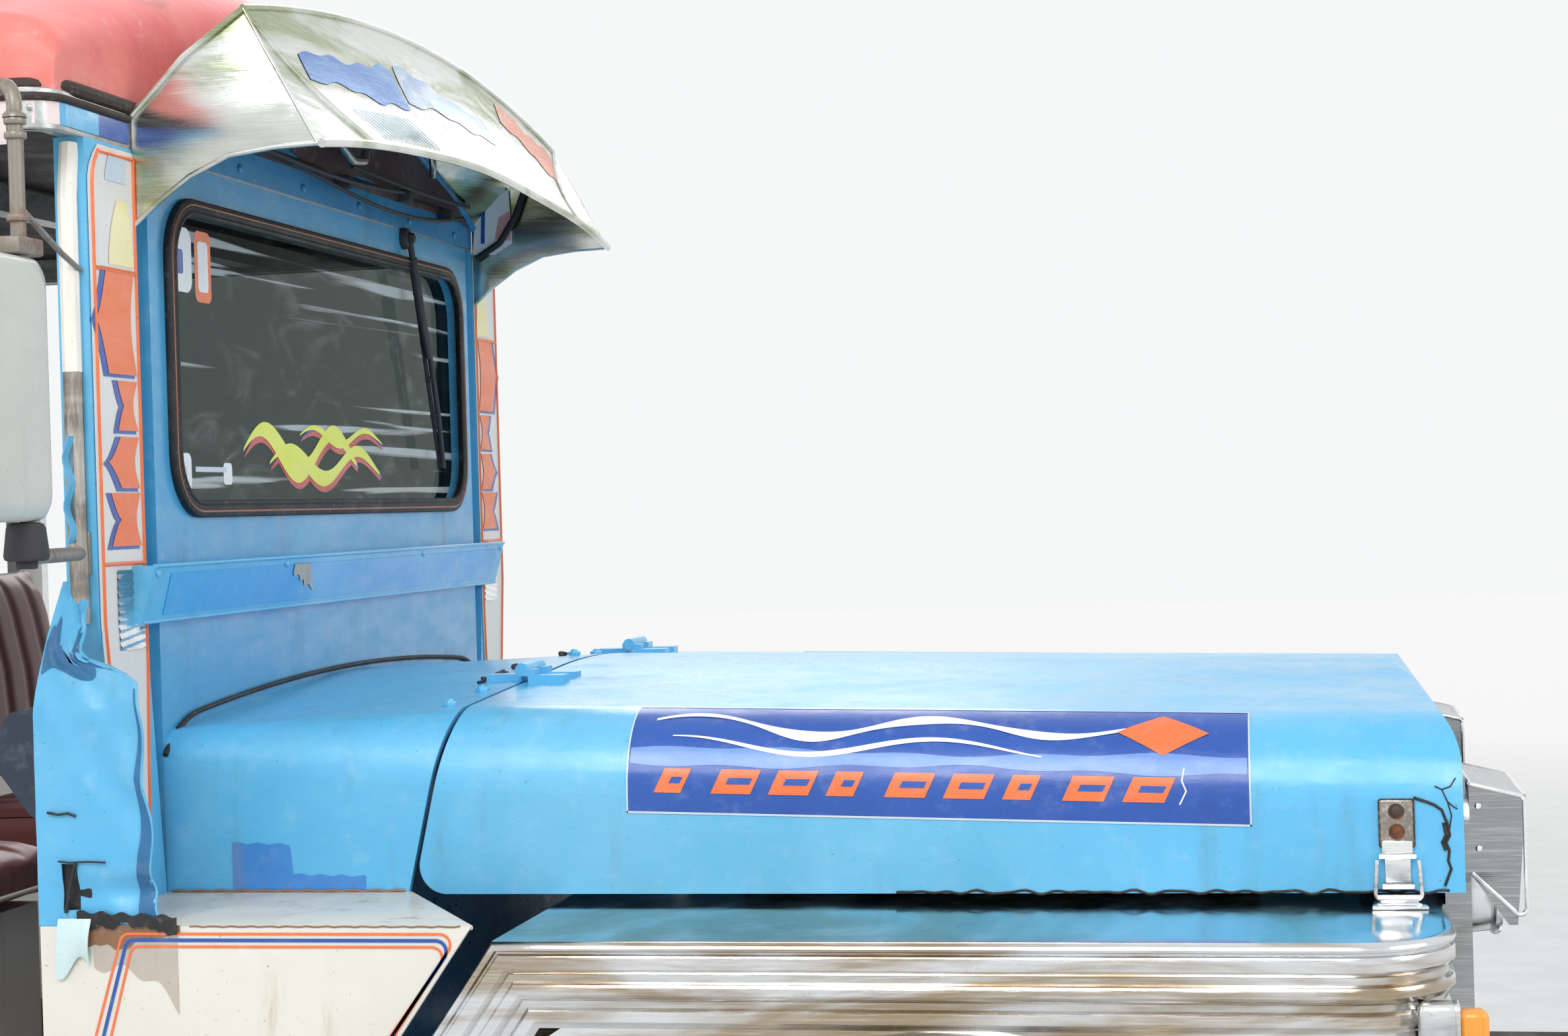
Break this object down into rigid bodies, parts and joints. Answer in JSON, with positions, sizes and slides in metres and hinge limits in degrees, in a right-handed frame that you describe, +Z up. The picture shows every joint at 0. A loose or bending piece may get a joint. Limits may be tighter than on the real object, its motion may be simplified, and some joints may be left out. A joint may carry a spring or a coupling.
{
  "type": "jeepney",
  "caption": "Open-sided passenger minibus with a long blue hood, polished fenders, a windshield visor, side benches under a red vinyl roof and a rear entrance step.",
  "frame": {"origin": "on the ground under the middle of the vehicle's length and width", "axes": "+X forward, +Y to the vehicle's left, +Z up"},
  "size_m": [6.4, 2.52, 2.2079],
  "materials": {
    "light_blue_paint": "gloss",
    "off_white_paint": "satin",
    "black_paint": "satin",
    "rusty_steel": "rough",
    "stainless": "polished",
    "galvanized": "satin",
    "red_vinyl": "satin",
    "seat_vinyl": "satin",
    "floor_board": "matt",
    "glass": "gloss",
    "lamp_glass": "gloss",
    "amber_lens": "gloss",
    "red_lens": "gloss",
    "black_plastic": "matt",
    "wheel_paint": "gloss",
    "tyre": "matt"
  },
  "bodies": {
    "chassis": {"chassis_frame": "black_paint", "front_bumper": "light_blue_paint", "engine_block": "rusty_steel", "radiator": "black_paint", "front_axle": "black_paint", "rear_axle": "black_paint", "leaf_springs": "rusty_steel", "drive_shaft": "rusty_steel", "fuel_tank": "black_paint", "exhaust": "rusty_steel", "floor": "floor_board", "firewall": "light_blue_paint", "cowl": "light_blue_paint", "windshield_panel": "light_blue_paint", "windshield_glass": "glass", "route_board": "light_blue_paint", "visor": "stainless", "front_posts": "off_white_paint", "cab_sides": "off_white_paint", "front_fenders": "stainless", "grille_shell": "stainless", "headlamps": "lamp_glass", "marker_lamps": "amber_lens", "tail_lamps": "red_lens", "roof_gutters": "stainless", "roof": "red_vinyl", "side_panels": "light_blue_paint", "rear_frame": "light_blue_paint", "bulkhead": "light_blue_paint", "rear_step": "galvanized", "running_boards": "galvanized", "bench_boxes": "off_white_paint", "benches": "seat_vinyl", "bench_backs": "seat_vinyl", "seat_boxes": "black_paint", "cab_seats": "seat_vinyl", "dashboard": "light_blue_paint", "steering_column": "black_paint", "gear_lever": "black_plastic", "hand_rails": "stainless", "mirrors": "galvanized", "wiper": "black_plastic"},
    "hood": {"hood_panel": "light_blue_paint", "hood_latches": "stainless"},
    "steering_wheel": {"steering_wheel": "black_plastic"},
    "knuckle_left": {"knuckle_left": "rusty_steel"},
    "knuckle_right": {"knuckle_right": "rusty_steel"},
    "tie_rod": {"tie_rod": "rusty_steel"},
    "wheel_front_left": {"tyre_front_left": "tyre", "rim_front_left": "wheel_paint"},
    "wheel_front_right": {"tyre_front_right": "tyre", "rim_front_right": "wheel_paint"},
    "wheel_rear_left": {"tyre_rear_left": "tyre", "rim_rear_left": "wheel_paint"},
    "wheel_rear_right": {"tyre_rear_right": "tyre", "rim_rear_right": "wheel_paint"}
  },
  "joints": [
    {"name": "hood_hinge", "type": "hinge", "parent": "chassis", "child": "hood", "pos_m": [1.61866, 0, 1.20233], "axis": [0, -1, 0], "range_deg": [0, 55]},
    {"name": "steer_left", "type": "hinge", "parent": "chassis", "child": "knuckle_left", "pos_m": [2.26, 0.66, 0.38], "axis": [0, 0, 1], "range_deg": [-32, 32]},
    {"name": "steer_right", "type": "hinge", "parent": "chassis", "child": "knuckle_right", "pos_m": [2.26, -0.66, 0.38], "axis": [0, 0, 1], "range_deg": [-32, 32]},
    {"name": "tie_rod_left_end", "type": "hinge", "parent": "knuckle_left", "child": "tie_rod", "pos_m": [2.11, 0.66, 0.29], "axis": [0, 0, 1], "range_deg": [-32, 32]},
    {"name": "steering_wheel_turn", "type": "hinge", "parent": "chassis", "child": "steering_wheel", "pos_m": [0.85, 0.4, 1.15], "axis": [-0.788, 0, 0.6157], "range_deg": [-480, 480]},
    {"name": "spin_front_left", "type": "hinge", "parent": "knuckle_left", "child": "wheel_front_left", "pos_m": [2.26, 0.78, 0.38], "axis": [0, 1, 0], "continuous": true},
    {"name": "spin_rear_left", "type": "hinge", "parent": "chassis", "child": "wheel_rear_left", "pos_m": [-1.42, 0.78, 0.38], "axis": [0, 1, 0], "continuous": true},
    {"name": "spin_front_right", "type": "hinge", "parent": "knuckle_right", "child": "wheel_front_right", "pos_m": [2.26, -0.78, 0.38], "axis": [0, 1, 0], "continuous": true},
    {"name": "spin_rear_right", "type": "hinge", "parent": "chassis", "child": "wheel_rear_right", "pos_m": [-1.42, -0.78, 0.38], "axis": [0, 1, 0], "continuous": true}
  ],
  "couplings": [
    {"joint": "steer_right", "follows": "steer_left", "ratio": 1},
    {"joint": "tie_rod_left_end", "follows": "steer_left", "ratio": -1},
    {"joint": "steering_wheel_turn", "follows": "steer_left", "ratio": 15}
  ]
}
